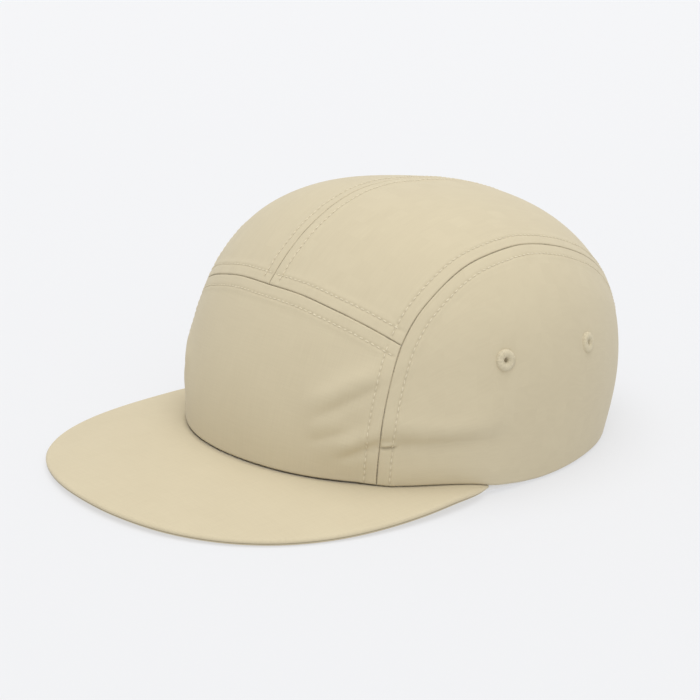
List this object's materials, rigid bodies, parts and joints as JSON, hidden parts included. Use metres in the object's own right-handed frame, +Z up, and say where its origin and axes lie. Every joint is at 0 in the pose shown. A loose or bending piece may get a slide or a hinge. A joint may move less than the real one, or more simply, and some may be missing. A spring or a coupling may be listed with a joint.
{
  "type": "five panel cap",
  "caption": "Unstructured cloth cap with a rounded panelled crown, a flat wide peak, sewn eyelets, and an arched back opening closed by a webbing strap.",
  "frame": {"origin": "on the surface that the cap rests on, under the middle of its length and width", "axes": "+Z up towards the crown's top, -Y ahead over the peak, +X towards the wearer's left"},
  "size_m": [0.1842, 0.263, 0.1098],
  "materials": {
    "crown_cloth": "smooth tightly woven beige cloth, matt with a soft sheen",
    "peak_cloth": "the same beige cloth stretched over a flat board",
    "sweatband_cloth": "off-white soft woven cotton",
    "webbing": "ribbed beige webbing",
    "slider_plastic": "satin moulded plastic in the cloth's colour",
    "thread": "twisted embroidery thread, slightly lighter than the cloth"
  },
  "bodies": {
    "root": {"front_panel": "crown_cloth", "top_panel_left": "crown_cloth", "top_panel_right": "crown_cloth", "side_panel_left": "crown_cloth", "side_panel_right": "crown_cloth", "peak": "peak_cloth", "sweatband": "sweatband_cloth", "back_strap": "webbing", "strap_slider": "slider_plastic", "eyelet_left_front": "thread", "eyelet_left_back": "thread", "eyelet_right_front": "thread", "eyelet_right_back": "thread"}
  },
  "joints": []
}
